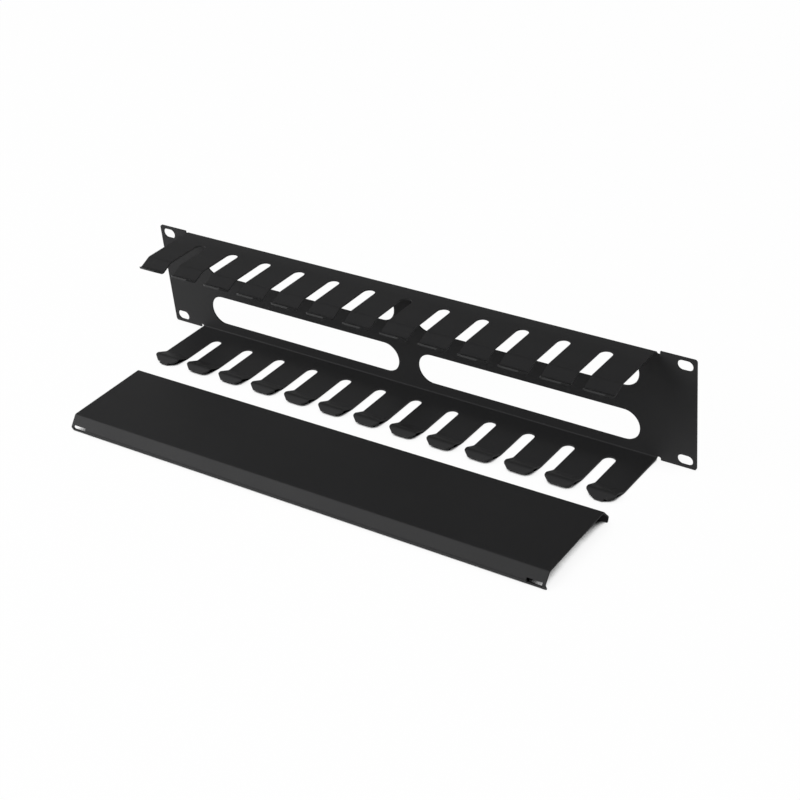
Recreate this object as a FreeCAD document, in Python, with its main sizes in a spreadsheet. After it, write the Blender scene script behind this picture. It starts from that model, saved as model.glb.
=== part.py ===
import FreeCAD, Part

import math
import os

import Sketcher
from FreeCAD import Placement, Rotation, Vector

# 2U horizontal cable manager for a 19-inch rack, in two folded steel sheets:
#   comb_panel  the rack panel with its ears, and the two combs of fingers folded forward from it
#   snap_cover  the cover that snaps over the finger tips, lying taken off in front of the panel
#
# Frame: X along the length, +Y to the rear, +Z up, millimetres. The origin is the middle of the
# four rack slots on the panel's rear face, the face that meets the rack rails.

DIMENSIONS = {
    # comb panel: the flat sheet and its ears
    "sheet_gauge": 1.2,
    "overall_width": 482.6,
    "overall_height": 88.5,
    "ear_corner_radius": 2.0,
    "hole_from_end": 8.75,
    "hole_from_edge": 6.15,
    "hole_slot_length": 12.0,
    "hole_slot_width": 7.8,
    "relief_width": 3.0,
    "relief_depth": 2.6,
    # comb panel: the four windows behind the channel
    "window_height": 25.2,
    "window_from_comb_end": 13.15,
    "window_web_across": 18.1,
    "window_web_up": 19.6,
    # comb panel: flanges, cut into equal fingers
    "ear_width": 30.5,
    "flange_set_in": 0.35,
    "flange_reach": 47.9,
    "bend_radius": 0.8,
    "gap_count": 12,
    "gap_width": 10.1,
    "gap_start": 14.8,
    # comb panel: finger tips, a lip that runs inwards and a tip that flares out again
    "lip_run": 10.5,
    "lip_angle": 23.8,
    "tip_length": 6.2,
    "tip_angle": 33.0,
    "lip_bend_radius": 5.0,
    "tip_bend_radius": 2.6,
    "tip_corner_across": 5.0,
    "tip_corner_run": 3.6,
    # comb panel: the tabs on the first and last lower finger
    "tab_width": 8.0,
    "tab_length": 1.7,
    # cover: its length and width follow the comb that it snaps on to
    "cover_gauge": 1.2,
    "cover_end_play": 3.2,
    "cover_over_tips": 0.2,
    "cover_lip_out": 6.7,
    "cover_lip_drop": 8.1,
    "cover_hem_in": 1.6,
    "cover_hem_drop": 3.6,
    "cover_bend_radius": 0.8,
    "tab_side_play": 1.8,
    "cover_slot_above": 1.6,
    "cover_slot_below": 1.5,
    # where the cover lies, in front of the panel and on the same surface
    "cover_across": 10.0,
    "cover_forward": 126.2,
    "cover_turn": 0.86,
}

doc = FreeCAD.newDocument("cable_manager")
sheet = doc.addObject("Spreadsheet::Sheet", "Dims")


class Size:
    """A number together with the spreadsheet expression that drives it."""

    def __init__(self, value, text=None):
        self.value = float(value)
        self.text = text or "%.12g" % value

    def join(self, other, sign, value):
        return Size(value, "(%s %s %s)" % (self.text, sign, other.text))

    def __add__(self, other):
        other = as_size(other)
        return self.join(other, "+", self.value + other.value)

    def __sub__(self, other):
        other = as_size(other)
        return self.join(other, "-", self.value - other.value)

    def __mul__(self, other):
        other = as_size(other)
        return self.join(other, "*", self.value * other.value)

    def __truediv__(self, other):
        other = as_size(other)
        return self.join(other, "/", self.value / other.value)

    def __neg__(self):
        return Size(-self.value, "(-%s)" % self.text)


def as_size(thing):
    return thing if isinstance(thing, Size) else Size(thing)


def sine(angle):
    return Size(math.sin(math.radians(angle.value)), "sin(%s * 1 deg)" % angle.text)


def cosine(angle):
    return Size(math.cos(math.radians(angle.value)), "cos(%s * 1 deg)" % angle.text)


def tangent(angle):
    return Size(math.tan(math.radians(angle.value)), "tan(%s * 1 deg)" % angle.text)


def angle_of(rise, run):
    """The slope in degrees of a line that rises by one size over another."""
    return Size(
        math.degrees(math.atan2(rise.value, run.value)),
        "(atan2(%s; %s) / 1 deg)" % (rise.text, run.text),
    )


dim = {}
for row, (word, number) in enumerate(DIMENSIONS.items(), start=1):
    sheet.set("A%d" % row, word)
    sheet.set("B%d" % row, "%g" % number)
    sheet.setAlias("B%d" % row, word)
    dim[word] = Size(number, "Dims.%s" % word)
doc.recompute()

ZERO = Size(0.0)


def origin_plane(body, role):
    for feature in body.Origin.OriginFeatures:
        if feature.Role == role:
            return feature
    raise ValueError(role)


def new_body(label):
    body = doc.addObject("PartDesign::Body", label)
    body.Label = label
    doc.recompute()
    return body


def sketch_on(body, name, role):
    sketch = body.newObject("Sketcher::SketchObject", name)
    sketch.AttachmentSupport = [(origin_plane(body, role), "")]
    sketch.MapMode = "FlatFace"
    doc.recompute()
    return sketch


def corner(across, up):
    return (across, up, None)


def corner_then_arc(across, up, centre, hold, turn):
    """A corner that an arc leaves. hold is the centre's coordinate to fix, turn its direction."""
    return (across, up, (centre, hold, turn))


def pin(sketch, geometry, end, place):
    """Fix one point of the sketch at a pair of sizes."""
    for axis, line, size in (("DistanceX", -2, place[0]), ("DistanceY", -1, place[1])):
        if size is ZERO:
            sketch.addConstraint(Sketcher.Constraint("PointOnObject", geometry, end, line))
            continue
        index = sketch.addConstraint(Sketcher.Constraint(axis, geometry, end, size.value))
        sketch.setExpression("Constraints[%d]" % index, size.text)


def draw_loop(sketch, loop):
    """Draw one closed outline of lines and arcs, every corner driven by the spreadsheet."""
    pieces = []
    for index, (across, up, arc) in enumerate(loop):
        after = loop[(index + 1) % len(loop)]
        start = Vector(across.value, up.value, 0)
        stop = Vector(after[0].value, after[1].value, 0)
        if arc is None:
            pieces.append((sketch.addGeometry(Part.LineSegment(start, stop), False), 1, 2))
            continue
        centre, hold, turn = arc
        middle = Vector(centre[0].value, centre[1].value, 0)
        first, last = (start, stop) if turn > 0 else (stop, start)
        angles = [math.atan2(p.y - middle.y, p.x - middle.x) for p in (first, last)]
        circle = Part.Circle(middle, Vector(0, 0, 1), (first - middle).Length)
        drawn = sketch.addGeometry(Part.ArcOfCircle(circle, angles[0], angles[1]), False)
        pieces.append((drawn, 1, 2) if turn > 0 else (drawn, 2, 1))
    for index, (drawn, start, stop) in enumerate(pieces):
        after = pieces[(index + 1) % len(pieces)]
        sketch.addConstraint(Sketcher.Constraint("Coincident", drawn, stop, after[0], after[1]))
    for (drawn, start, stop), (across, up, arc) in zip(pieces, loop):
        pin(sketch, drawn, start, (across, up))
        if arc is not None:
            centre, hold, turn = arc
            axis = "DistanceX" if hold == "across" else "DistanceY"
            size = centre[0] if hold == "across" else centre[1]
            index = sketch.addConstraint(Sketcher.Constraint(axis, drawn, 3, size.value))
            sketch.setExpression("Constraints[%d]" % index, size.text)


def stadium(across, up, length, width):
    """An obround outline, its long side across."""
    left, right = across - length / 2 + width / 2, across + length / 2 - width / 2
    low, high = up - width / 2, up + width / 2
    return [
        corner(left, low),
        corner_then_arc(right, low, (right, up), "across", 1),
        corner(right, high),
        corner_then_arc(left, high, (left, up), "across", 1),
    ]


def finish(body, feature):
    doc.recompute()
    body.Tip = feature
    doc.recompute()
    return feature


def pad(body, name, sketch, length, both_ways=False):
    feature = body.newObject("PartDesign::Pad", name)
    feature.Profile = sketch
    feature.setExpression("Length", length.text)
    if both_ways:
        feature.SideType = "Symmetric"
    return finish(body, feature)


def cut_through(body, name, sketch):
    feature = body.newObject("PartDesign::Pocket", name)
    feature.Profile = sketch
    feature.Type = "ThroughAll"
    feature.SideType = "Symmetric"
    return finish(body, feature)


def mirror(body, name, features, role):
    feature = body.newObject("PartDesign::Mirrored", name)
    feature.Originals = features
    feature.MirrorPlane = (origin_plane(body, role), [""])
    return finish(body, feature)


def mirror_both_ways(body, name, features, roles):
    """Repeat features in all four quarters of the panel."""
    both = body.newObject("PartDesign::MultiTransform", name)
    steps = []
    for number, role in enumerate(roles):
        step = body.newObject("PartDesign::Mirrored", "%s_%d" % (name, number))
        step.MirrorPlane = (origin_plane(body, role), [""])
        steps.append(step)
    both.Originals = features
    both.Transformations = steps
    return finish(body, both)


def repeat_across(body, name, features, count, pitch):
    feature = body.newObject("PartDesign::LinearPattern", name)
    feature.Originals = features
    feature.Direction = (origin_plane(body, "X_Axis"), [""])
    feature.setExpression("Occurrences", count.text)
    feature.setExpression("Length", (pitch * (count - 1)).text)
    return finish(body, feature)


def long_edges_at(shape, places):
    """Names of the edges along X that pass through the given (y, z) places."""
    names = []
    for number, edge in enumerate(shape.Edges, start=1):
        a, b = edge.Vertexes[0].Point, edge.Vertexes[-1].Point
        if abs(a.y - b.y) > 1e-6 or abs(a.z - b.z) > 1e-6 or abs(a.x - b.x) < 1:
            continue
        if any(abs(a.y - y.value) < 1e-4 and abs(a.z - z.value) < 1e-4 for y, z in places):
            names.append("Edge%d" % number)
    return names


def round_bends(body, name, base, places, radius):
    feature = body.newObject("PartDesign::Fillet", name)
    edges = long_edges_at(base.Shape, places)
    if len(edges) != len(places):
        raise ValueError("%s: %d edges for %d bends" % (name, len(edges), len(places)))
    feature.Base = (base, edges)
    feature.setExpression("Radius", radius.text)
    return finish(body, feature)


# ---------------------------------------------------------------- comb panel

gauge = dim["sheet_gauge"]
half_width, half_height = dim["overall_width"] / 2, dim["overall_height"] / 2
half_comb = half_width - dim["ear_width"]
comb_width = half_comb * 2
comb_outside = half_height - dim["flange_set_in"]
comb_inside = comb_outside - gauge
lip, tip = dim["lip_angle"], dim["tip_angle"]
reach = -dim["flange_reach"]

# Corners of the upper flange's section as (y, z), from the panel forward and back again. Each
# outer corner lies one gauge outside the inner one.
ridge = (reach - dim["lip_run"], comb_inside - dim["lip_run"] * tangent(lip))
tip_inner = (
    ridge[0] - dim["tip_length"] * cosine(tip),
    ridge[1] + dim["tip_length"] * sine(tip),
)
tip_outer = (tip_inner[0] + gauge * sine(tip), tip_inner[1] + gauge * cosine(tip))
fold = cosine((lip + tip) / 2)
ridge_outer = (
    ridge[0] + gauge * sine((tip - lip) / 2) / fold,
    ridge[1] + gauge * cosine((tip - lip) / 2) / fold,
)
lip_inner = (reach, comb_inside)
lip_outer = (reach - gauge * tangent(lip / 2), comb_outside)
back_inner = (-gauge, comb_inside)
back_outer = (ZERO, comb_outside)

upper = [back_outer, lip_outer, ridge_outer, tip_outer, tip_inner, ridge, lip_inner, back_inner]
lower = [(y, -z) for y, z in reversed(upper)]

panel = new_body("comb_panel")

section = sketch_on(panel, "folded_section", "YZ_Plane")
draw_loop(section, [corner(y, z) for y, z in upper + lower])
folded = pad(panel, "folded_sheet", section, comb_width, both_ways=True)


def both_combs(place):
    return [place, (place[0], -place[1])]


# Each bend is two fillets, one gauge apart, so that the sheet keeps its thickness round it.
BENDS = (
    ("back_bend", back_inner, back_outer, dim["bend_radius"]),
    ("tip_bend", ridge_outer, ridge, dim["tip_bend_radius"]),
    ("lip_bend", lip_inner, lip_outer, dim["lip_bend_radius"]),
)
for name, inside, outside, radius in BENDS:
    folded = round_bends(panel, name + "_inside", folded, both_combs(inside), radius)
    folded = round_bends(panel, name + "_outside", folded, both_combs(outside), radius + gauge)

# The flat sheet with its ears. Beside each flange's end a small notch is relieved for the bend.
notch_end = half_comb + dim["relief_width"]
notch_middle = half_comb + dim["relief_width"] / 2
notch_round = half_height - dim["relief_depth"] + dim["relief_width"] / 2
flat_edge = half_height - dim["relief_depth"]
quarter = [
    corner(half_width, half_height),
    corner(notch_end, half_height),
    corner_then_arc(notch_end, notch_round, (notch_middle, notch_round), "up", -1),
    corner(half_comb, notch_round),
    corner(half_comb, flat_edge),
]
sheet_outline = sketch_on(panel, "sheet_outline", "XZ_Plane")


def flipped(points, across, up):
    """A quarter of the outline, mirrored and walked in the direction that closes the loop."""
    turned = []
    for x, z, arc in points:
        x = -x if across else x
        z = -z if up else z
        if arc is not None:
            centre, hold, turn = arc
            centre = (-centre[0] if across else centre[0], -centre[1] if up else centre[1])
            arc = (centre, hold, -turn if across != up else turn)
        turned.append((x, z, arc))
    if across == up:
        return turned
    turned.reverse()
    # an arc belongs to the corner that it leaves, which is the other end when walked backwards
    arcs = [point[2] for point in turned]
    shifted = [arc if arc is None else (arc[0], arc[1], -arc[2]) for arc in arcs[1:]] + [None]
    return [(x, z, arc) for (x, z, _), arc in zip(turned, shifted)]


draw_loop(
    sheet_outline,
    quarter + flipped(quarter, True, False) + flipped(quarter, True, True)
    + flipped(quarter, False, True),
)
flat = pad(panel, "flat_sheet", sheet_outline, gauge)


def ear_corners(shape):
    names = []
    for number, edge in enumerate(shape.Edges, start=1):
        a, b = edge.Vertexes[0].Point, edge.Vertexes[-1].Point
        at_corner = all(
            abs(abs(p.x) - half_width.value) < 1e-4 and abs(abs(p.z) - half_height.value) < 1e-4
            for p in (a, b)
        )
        if at_corner and abs(a.y - b.y) > 1e-3:
            names.append("Edge%d" % number)
    return names


rounded = panel.newObject("PartDesign::Fillet", "ear_corners")
rounded.Base = (flat, ear_corners(flat.Shape))
rounded.setExpression("Radius", dim["ear_corner_radius"].text)
finish(panel, rounded)

rack_slot = sketch_on(panel, "rack_slot", "XZ_Plane")
draw_loop(
    rack_slot,
    stadium(
        half_width - dim["hole_from_end"],
        half_height - dim["hole_from_edge"],
        dim["hole_slot_length"],
        dim["hole_slot_width"],
    ),
)
rack_slot_cut = cut_through(panel, "rack_slot_cut", rack_slot)
mirror_both_ways(panel, "rack_slots", [rack_slot_cut], ("YZ_Plane", "XY_Plane"))

half_web = dim["window_web_across"] / 2
window_length = half_comb - dim["window_from_comb_end"] - half_web
window = sketch_on(panel, "window", "XZ_Plane")
draw_loop(
    window,
    stadium(
        half_web + window_length / 2,
        (dim["window_web_up"] + dim["window_height"]) / 2,
        window_length,
        dim["window_height"],
    ),
)
window_cut = cut_through(panel, "window_cut", window)
mirror_both_ways(panel, "windows", [window_cut], ("YZ_Plane", "XY_Plane"))

# The gaps between fingers, cut through both flanges at once. Each starts in a half circle, and
# its mouth widens where the tips on both sides lose their corners.
gap_pitch = (comb_width + dim["gap_width"]) / (dim["gap_count"] + 1)
gap_middle = -(gap_pitch * (dim["gap_count"] - 1)) / 2
half_gap = dim["gap_width"] / 2
gap_back = -dim["gap_start"] - half_gap
mouth = tip_inner[0] + dim["tip_corner_run"]
beyond = tip_inner[0] - dim["tip_corner_run"]
wide = half_gap + dim["tip_corner_across"] * 2
gap = sketch_on(panel, "finger_gap", "XY_Plane")
draw_loop(
    gap,
    [
        corner_then_arc(gap_middle + half_gap, gap_back, (gap_middle, gap_back), "up", 1),
        corner(gap_middle - half_gap, gap_back),
        corner(gap_middle - half_gap, mouth),
        corner(gap_middle - wide, beyond),
        corner(gap_middle + wide, beyond),
        corner(gap_middle + half_gap, mouth),
    ],
)
gap_cut = cut_through(panel, "finger_gap_cut", gap)
repeat_across(panel, "finger_gaps", [gap_cut], dim["gap_count"], gap_pitch)

# The outer corners of the first and last fingers go the same way.
end_corner = sketch_on(panel, "end_corner", "XY_Plane")
draw_loop(
    end_corner,
    [
        corner(half_comb, mouth),
        corner(half_comb - dim["tip_corner_across"] * 2, beyond),
        corner(half_comb + dim["tip_corner_across"], beyond),
        corner(half_comb + dim["tip_corner_across"], mouth),
    ],
)
end_corner_cut = cut_through(panel, "end_corner_cut", end_corner)
mirror(panel, "end_corners", [end_corner_cut], "YZ_Plane")

# A tab in the middle of the first and last lower tips locates the cover lengthwise.
tab_centre = half_comb - (gap_pitch - dim["gap_width"]) / 2
longer = dim["tip_length"] + dim["tab_length"]
rooted = dim["tip_length"] / 2


def along_tip(distance, outside):
    """A point (y, z) on the lower tip's inner face, or one gauge outside it."""
    y = ridge[0] - distance * cosine(tip)
    z = -(ridge[1] + distance * sine(tip))
    if outside:
        return (y + gauge * sine(tip), z - gauge * cosine(tip))
    return (y, z)


tab_section = sketch_on(panel, "tab_section", "YZ_Plane")
draw_loop(
    tab_section,
    [
        corner(*along_tip(rooted, False)),
        corner(*along_tip(longer, False)),
        corner(*along_tip(longer, True)),
        corner(*along_tip(rooted, True)),
    ],
)
tab_section.setExpression("AttachmentOffset.Base.z", tab_centre.text)
tab = pad(panel, "tab", tab_section, dim["tab_width"], both_ways=True)
mirror(panel, "tabs", [tab], "YZ_Plane")

# --------------------------------------------------------------------- cover

thick = dim["cover_gauge"]
cover_length = comb_width - dim["cover_end_play"] * 2
half_face = tip_outer[1] + dim["cover_over_tips"] - dim["cover_lip_out"]
top = dim["cover_lip_drop"] + dim["cover_hem_drop"]
knee = top - dim["cover_lip_drop"]
lip_slope = angle_of(dim["cover_lip_drop"], dim["cover_lip_out"])
hem_slope = angle_of(dim["cover_hem_drop"], dim["cover_hem_in"])

# Corners of one side of the cover's section as (y, z), outside first. The lip slopes outwards
# and down from the face, and the hem turns back in below it.
face_outer = (half_face, top)
knee_outer = (half_face + dim["cover_lip_out"], knee)
hem_outer = (knee_outer[0] - dim["cover_hem_in"], ZERO)
hem_inner = (hem_outer[0] - thick / sine(hem_slope), ZERO)
knee_fold = cosine((Size(180) - lip_slope - hem_slope) / 2)
knee_turn = (Size(180) - hem_slope + lip_slope) / 2
knee_inner = (
    knee_outer[0] - thick * sine(knee_turn) / knee_fold,
    knee_outer[1] + thick * cosine(knee_turn) / knee_fold,
)
face_inner = (half_face - thick * tangent(lip_slope / 2), top - thick)

side = [face_outer, knee_outer, hem_outer, hem_inner, knee_inner, face_inner]
other_side = [(-y, z) for y, z in reversed(side)]

cover = new_body("snap_cover")
cover_section = sketch_on(cover, "cover_section", "YZ_Plane")
draw_loop(cover_section, [corner(y, z) for y, z in side + other_side])
folded = pad(cover, "folded_cover", cover_section, cover_length, both_ways=True)


def both_sides(*places):
    return list(places) + [(-y, z) for y, z in places]


inside_radius = dim["cover_bend_radius"]
outside_radius = inside_radius + thick
folded = round_bends(
    cover, "cover_bends_inside", folded, both_sides(face_inner, knee_inner), inside_radius
)
folded = round_bends(
    cover, "cover_bends_outside", folded, both_sides(face_outer, knee_outer), outside_radius
)

# Two slots through the front lip's knee take the tabs of the first and last lower fingers.
slot = sketch_on(cover, "tab_slot", "XZ_Plane")
half_slot = dim["tab_width"] / 2 + dim["tab_side_play"]
slot_left, slot_right = tab_centre - half_slot, tab_centre + half_slot
draw_loop(
    slot,
    [
        corner(slot_left, knee - dim["cover_slot_below"]),
        corner(slot_right, knee - dim["cover_slot_below"]),
        corner(slot_right, knee + dim["cover_slot_above"]),
        corner(slot_left, knee + dim["cover_slot_above"]),
    ],
)
slot_cut = cover.newObject("PartDesign::Pocket", "tab_slot_cut")
slot_cut.Profile = slot
slot_cut.Type = "Length"
slot_cut.Reversed = True
slot_cut.setExpression("Length", (half_face + dim["cover_lip_out"] * 2).text)
finish(cover, slot_cut)
mirror(cover, "tab_slots", [slot_cut], "YZ_Plane")

cover.Placement = Placement(
    Vector(dim["cover_across"].value, -dim["cover_forward"].value, -half_height.value),
    Rotation(Vector(0, 0, 1), dim["cover_turn"].value),
)
for axis, size in (
    ("x", dim["cover_across"]),
    ("y", -dim["cover_forward"]),
    ("z", -half_height),
):
    cover.setExpression("Placement.Base.%s" % axis, size.text)
cover.setExpression("Placement.Rotation.Angle", "(%s * 1 deg)" % dim["cover_turn"].text)

# -------------------------------------------------------------------- export

doc.recompute()
for item in doc.Objects:
    if "Invalid" in item.State or "Error" in item.State:
        raise RuntimeError("%s did not build" % item.Name)
os.makedirs("parts", exist_ok=True)
for body in (panel, cover):
    shape = body.Shape
    if shape.isNull() or not shape.isValid() or len(shape.Solids) != 1:
        raise RuntimeError("%s is not one valid solid" % body.Label)
    shape.exportStep("parts/%s.step" % body.Label)
    box = shape.BoundBox
    print(
        "%s: volume %.1f mm3, x %.2f to %.2f, y %.2f to %.2f, z %.2f to %.2f"
        % (body.Label, shape.Volume, box.XMin, box.XMax, box.YMin, box.YMax, box.ZMin, box.ZMax)
    )
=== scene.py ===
import math

import bmesh
import bpy
from mathutils import Matrix, Vector


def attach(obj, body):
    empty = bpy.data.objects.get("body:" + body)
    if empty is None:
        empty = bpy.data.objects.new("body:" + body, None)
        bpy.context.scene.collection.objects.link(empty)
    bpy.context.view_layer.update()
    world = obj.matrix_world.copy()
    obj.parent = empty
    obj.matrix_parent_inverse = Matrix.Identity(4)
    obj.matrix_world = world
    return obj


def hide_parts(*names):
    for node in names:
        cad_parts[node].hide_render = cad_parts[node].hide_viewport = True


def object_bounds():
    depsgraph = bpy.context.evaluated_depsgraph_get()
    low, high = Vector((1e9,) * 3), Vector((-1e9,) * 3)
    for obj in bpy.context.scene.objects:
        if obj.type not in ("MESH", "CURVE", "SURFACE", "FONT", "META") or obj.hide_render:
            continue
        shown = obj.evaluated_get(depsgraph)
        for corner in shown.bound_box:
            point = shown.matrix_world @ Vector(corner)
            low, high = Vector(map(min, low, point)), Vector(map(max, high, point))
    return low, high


# A 2U horizontal cable manager in black powder-coated sheet steel: the comb panel stands on its
# lower edge, and its cover lies taken off in front of it. Metres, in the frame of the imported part.

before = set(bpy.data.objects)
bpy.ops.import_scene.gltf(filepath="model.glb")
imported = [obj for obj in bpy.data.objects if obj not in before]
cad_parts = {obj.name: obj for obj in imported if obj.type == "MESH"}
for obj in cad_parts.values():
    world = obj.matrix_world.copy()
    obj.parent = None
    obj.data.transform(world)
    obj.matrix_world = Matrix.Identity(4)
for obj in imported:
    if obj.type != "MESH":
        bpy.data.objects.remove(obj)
cad_low, cad_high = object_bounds()

MM = 0.001

# ------------------------------------------------------------------ camera, floor and light

AIM = Vector((2.7 * MM, -20.0 * MM, cad_low.z))
CAMERA_AZIMUTH = 38.26
CAMERA_ELEVATION = 31.69
CAMERA_ROLL = -5.91
CAMERA_DISTANCE = 1.274
LENS = 75.5
SENSOR = 36.0
CLIP = (0.05, 200.0)

WHITE = (1.0, 1.0, 1.0, 1.0)
PALE_PAINT = (0.82, 0.82, 0.82)
SWEEP_RADIUS = 8.0
SWEEP_HEIGHT = 4.0
SWEEP_SIDES = 96
# how far off a surface the ambient occlusion still darkens the floor as painted shade, and how far
# from the middle the floor stops taking that painted shade
PAINTED_SHADE_REACH = 25.0 * MM
PAINTED_SHADE_END = (1.0, 2.0)
OCCLUSION_SAMPLES = 16
# how open the floor is, by ambient occlusion, where its painted shade turns from dark to pale, and
# from pale to full white
DEEP_PAINTED_SHADE = (0.26, 0.44)
SHADED_FLOOR = (0.44, 0.85)
SHADED_WHITE = 0.88
SWEEP_WHITE = 0.985

# azimuth and elevation that each shines from, distance, width, height, watts
SOFTBOXES = {
    "front_softbox": (-30.0, 30.0, 2.7, 1.42, 1.42, 20.0),
    "high_left_softbox": (-45.0, 42.0, 2.7, 1.42, 1.42, 26.0),
    "left_softbox": (-55.0, 25.0, 2.7, 1.42, 1.42, 38.0),
    "right_softbox": (60.0, 25.0, 2.7, 1.42, 1.42, 29.0),
}
WORLD_LIGHT = 0.02

# ------------------------------------------------------------------ powder coat

COAT_COLOUR = (0.0175, 0.0175, 0.0180)
COAT_VARIATION = 0.16
COAT_ROUGHNESS = 0.60
COAT_SPECULAR = 0.15

# scale, detail and roughness of the noise behind the coat's clouding, orange peel and grain
CLOUD = (22.0, 3.0, 0.5)
PEEL = (900.0, 2.0, 0.5)
GRAIN = (3200.0, 2.0, 0.7)
CLOUD_ROUGHENING = 0.10
GRAIN_ROUGHENING = 0.12
PEEL_SHARE = 0.7
GRAIN_SHARE = 0.3
BUMP_STRENGTH = 0.22
BUMP_HEIGHT = 0.03 * MM

# the round of powder on a cut edge, and how sharp an edge has to be to take it
EDGE_RADIUS = 0.28 * MM
EDGE_SEGMENTS = 2
EDGE_ANGLE = 38.0
# corners closer than this are welded, and faces this nearly level are joined, before that
WELD_DISTANCE = 0.002 * MM
LEVEL_ANGLE = 0.4


def toward(azimuth, elevation):
    """The unit vector to a place seen at that azimuth, which turns from the front to the right."""
    a, e = math.radians(azimuth), math.radians(elevation)
    return Vector((math.sin(a) * math.cos(e), -math.cos(a) * math.cos(e), math.sin(e)))


# ------------------------------------------------------------------ shader maths


class Value:
    """A number on a socket of a shader. Arithmetic on it adds Math nodes."""

    def __init__(self, shader, socket):
        self.shader = shader
        self.socket = socket

    def math(self, operation, a, b):
        node = self.shader.node("ShaderNodeMath", {"operation": operation}, {0: a, 1: b})
        return self.shader.value(node)

    def __add__(self, other):
        return self.math("ADD", self, other)

    def __sub__(self, other):
        return self.math("SUBTRACT", self, other)

    def __rsub__(self, other):
        return self.math("SUBTRACT", other, self)

    def __mul__(self, other):
        return self.math("MULTIPLY", self, other)

    __radd__ = __add__
    __rmul__ = __mul__

    def at_least(self, other):
        """The larger of the two numbers."""
        return self.math("MAXIMUM", self, other)


class Shader:
    """A material's or the world's node tree, emptied and ready for new nodes."""

    def __init__(self, owner):
        owner.use_nodes = True
        self.tree = owner.node_tree
        self.tree.nodes.clear()

    def node(self, kind, settings=None, inputs=None):
        """One node, its settings first and then the values or links of its sockets."""
        node = self.tree.nodes.new(kind)
        for name, value in (settings or {}).items():
            setattr(node, name, value)
        for name, value in (inputs or {}).items():
            socket = node.inputs[name]
            if isinstance(value, Value):
                value = value.socket
            if isinstance(value, bpy.types.NodeSocket):
                self.tree.links.new(value, socket)
            else:
                socket.default_value = value
        return node

    def value(self, node, output=0):
        """The number that leaves a node at one of its outputs."""
        return Value(self, node.outputs[output])


def powder_coat():
    """Fine-textured satin black: a film that pulled into low orange peel over the sheet."""
    material = bpy.data.materials.new("black_powder_coat")
    shader = Shader(material)
    place = shader.node("ShaderNodeTexCoord").outputs["Object"]

    def noise(scale, detail, roughness):
        made = shader.node(
            "ShaderNodeTexNoise",
            {"noise_dimensions": "3D"},
            {"Vector": place, "Scale": scale, "Detail": detail, "Roughness": roughness},
        )
        return shader.value(made, "Fac")

    cloud = noise(*CLOUD)
    peel = noise(*PEEL)
    grain = noise(*GRAIN)
    clouding = cloud - 0.5
    graining = grain - 0.5

    tone = 1.0 + clouding * COAT_VARIATION + graining * COAT_VARIATION
    colour = shader.node(
        "ShaderNodeVectorMath",
        {"operation": "SCALE"},
        {0: COAT_COLOUR, "Scale": tone},
    )
    height = peel * PEEL_SHARE + grain * GRAIN_SHARE
    bump = shader.node(
        "ShaderNodeBump",
        inputs={"Strength": BUMP_STRENGTH, "Distance": BUMP_HEIGHT, "Height": height},
    )
    roughness = COAT_ROUGHNESS + clouding * CLOUD_ROUGHENING + graining * GRAIN_ROUGHENING
    surface = shader.node(
        "ShaderNodeBsdfPrincipled",
        inputs={
            "Base Color": colour.outputs[0],
            "Roughness": roughness,
            "Specular IOR Level": COAT_SPECULAR,
            "Normal": bump.outputs[0],
        },
    )
    shader.node("ShaderNodeOutputMaterial", inputs={"Surface": surface.outputs[0]})
    return material


# ------------------------------------------------------------------ the two sheets


def dressed_sheet(name, node, material):
    """The sheet as it leaves the coating line: its cut edges carry a small round of powder."""
    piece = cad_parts[node].copy()
    piece.data = piece.data.copy()
    piece.name = name
    piece.data.name = name
    piece.parent = None
    for key in list(piece.keys()):
        del piece[key]
    bpy.context.scene.collection.objects.link(piece)
    mesh = bmesh.new()
    mesh.from_mesh(piece.data)
    bmesh.ops.remove_doubles(mesh, verts=mesh.verts, dist=WELD_DISTANCE)
    bmesh.ops.dissolve_limit(
        mesh,
        angle_limit=math.radians(LEVEL_ANGLE),
        verts=mesh.verts,
        edges=mesh.edges,
    )
    mesh.to_mesh(piece.data)
    mesh.free()
    if piece.data.has_custom_normals:
        piece.data.attributes.remove(piece.data.attributes["custom_normal"])
    piece.data.materials.clear()
    piece.data.materials.append(material)
    bevel = piece.modifiers.new("coated_edges", "BEVEL")
    bevel.width = EDGE_RADIUS
    bevel.segments = EDGE_SEGMENTS
    bevel.limit_method = "ANGLE"
    bevel.angle_limit = math.radians(EDGE_ANGLE)
    bevel.harden_normals = True
    bevel.use_clamp_overlap = True
    for face in piece.data.polygons:
        face.use_smooth = True
    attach(piece, "root")
    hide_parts(node)
    return piece


coat = powder_coat()
dressed_sheet("folded_comb_panel", "comb_panel", coat)
dressed_sheet("push_on_cover", "snap_cover", coat)

# ------------------------------------------------------------------ floor, light and camera


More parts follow.
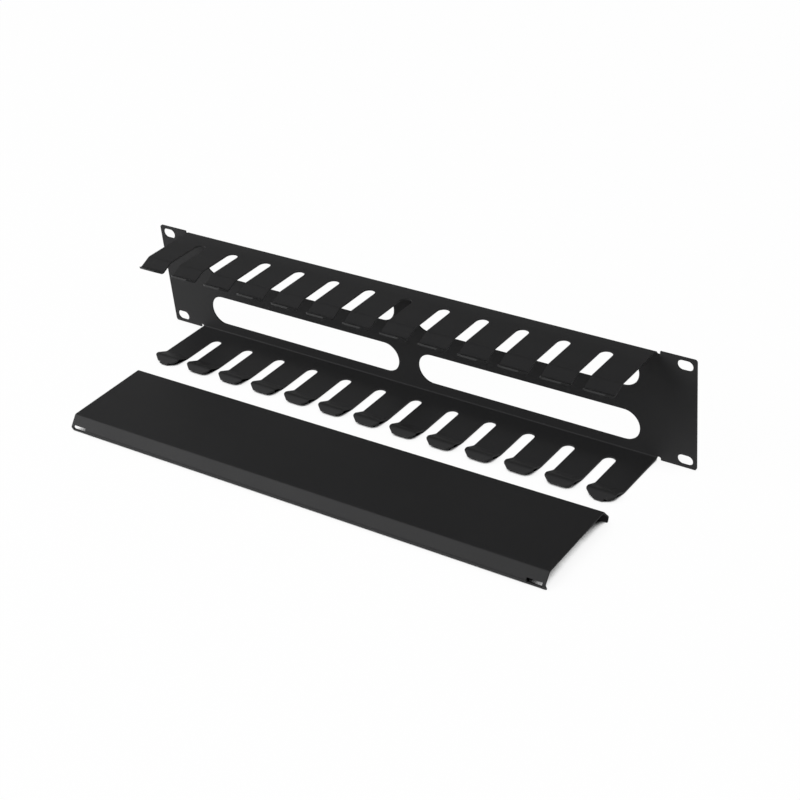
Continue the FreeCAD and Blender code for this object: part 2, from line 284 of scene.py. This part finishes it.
def pale_paint():
    """Pale matt paint, seen as plain white where it lies open; close to a surface, ambient occlusion
    darkens it as painted shade.
    """
    material = bpy.data.materials.new("pale_paint")
    shader = Shader(material)
    occlusion = shader.node(
        "ShaderNodeAmbientOcclusion",
        {"samples": OCCLUSION_SAMPLES},
        {"Distance": PAINTED_SHADE_REACH},
    )

    place = shader.node("ShaderNodeNewGeometry").outputs["Position"]
    distance = shader.node("ShaderNodeVectorMath", {"operation": "LENGTH"}, {0: place})

    def ramp(value, limits, top=1.0):
        """Zero up to the first limit, and top from the second one on."""
        ranged = shader.node(
            "ShaderNodeMapRange",
            {"clamp": True},
            {"Value": value, "From Min": limits[0], "From Max": limits[1], "To Max": top},
        )
        return shader.value(ranged)

    far = ramp(distance.outputs["Value"], PAINTED_SHADE_END)
    openness = shader.value(occlusion, "AO").at_least(far)
    # painted shade: the floor's own colour goes dark where ambient occlusion finds it enclosed,
    # under and beside the object
    painted_shade_colour = shader.node(
        "ShaderNodeVectorMath",
        {"operation": "SCALE"},
        {0: PALE_PAINT, "Scale": ramp(openness, DEEP_PAINTED_SHADE)},
    )
    lit = shader.node("ShaderNodeBsdfDiffuse", inputs={"Color": painted_shade_colour.outputs[0]})
    white = shader.node("ShaderNodeEmission", inputs={"Color": WHITE, "Strength": 1.0})
    ray = shader.node("ShaderNodeLightPath")
    seen = sum(
        shader.value(ray, kind)
        for kind in ("Is Camera Ray", "Is Glossy Ray", "Is Transmission Ray")
    )
    # painted shade: the white that camera and glossy rays see is lowered by ambient occlusion close
    # to the object, a painted contact shadow
    pale = ramp(openness, DEEP_PAINTED_SHADE, SHADED_WHITE)
    whiteness = pale + ramp(openness, SHADED_FLOOR, SWEEP_WHITE - SHADED_WHITE)
    mix = shader.node(
        "ShaderNodeMixShader",
        inputs={0: seen * whiteness, 1: lit.outputs[0], 2: white.outputs[0]},
    )
    shader.node("ShaderNodeOutputMaterial", inputs={"Surface": mix.outputs[0]})
    return material


def white_sweep():
    """A round floor and the wall behind it, the same paint on both."""
    paint = pale_paint()
    bpy.ops.mesh.primitive_circle_add(
        vertices=SWEEP_SIDES, radius=SWEEP_RADIUS, fill_type="NGON", location=(0, 0, cad_low.z)
    )
    floor = bpy.context.object
    floor.name = "studio_floor"
    bpy.ops.mesh.primitive_cylinder_add(
        vertices=SWEEP_SIDES,
        radius=SWEEP_RADIUS,
        depth=SWEEP_HEIGHT,
        end_fill_type="NOTHING",
        location=(0, 0, cad_low.z + SWEEP_HEIGHT / 2),
    )
    wall = bpy.context.object
    wall.name = "studio_wall"
    for surface in (floor, wall):
        surface.data.materials.append(paint)


def even_world():
    """The same faint light from every side."""
    world = bpy.data.worlds.new("studio")
    bpy.context.scene.world = world
    shader = Shader(world)
    light = shader.node(
        "ShaderNodeBackground", inputs={"Color": WHITE, "Strength": WORLD_LIGHT}
    )
    shader.node("ShaderNodeOutputWorld", inputs={"Surface": light.outputs[0]})


def softboxes():
    """Large lamps that face the middle of the object and don't show themselves."""
    middle = (cad_low + cad_high) / 2
    for name, (azimuth, elevation, distance, width, height, watts) in SOFTBOXES.items():
        light = bpy.data.lights.new(name, "AREA")
        light.shape = "RECTANGLE"
        light.size = width
        light.size_y = height
        light.energy = watts
        lamp = bpy.data.objects.new(name, light)
        bpy.context.scene.collection.objects.link(lamp)
        lamp.visible_camera = False
        back = toward(azimuth, elevation)
        lamp.location = middle + back * distance
        lamp.rotation_mode = "QUATERNION"
        lamp.rotation_quaternion = (-back).to_track_quat("-Z", "Y")


def camera():
    """A long lens from the front right and above, leaning a little to one side."""
    data = bpy.data.cameras.new("camera")
    data.lens = LENS
    data.sensor_width = SENSOR
    data.clip_start, data.clip_end = CLIP
    made = bpy.data.objects.new("camera", data)
    bpy.context.scene.collection.objects.link(made)
    back = toward(CAMERA_AZIMUTH, CAMERA_ELEVATION)
    level = (-back).to_track_quat("-Z", "Y").to_matrix()
    roll = Matrix.Rotation(math.radians(CAMERA_ROLL), 3, "Z")
    made.rotation_mode = "QUATERNION"
    made.rotation_quaternion = (level @ roll).to_quaternion()
    made.location = AIM + back * CAMERA_DISTANCE
    bpy.context.scene.camera = made


white_sweep()
even_world()
softboxes()
camera()
bpy.context.scene.view_settings.view_transform = "Standard"
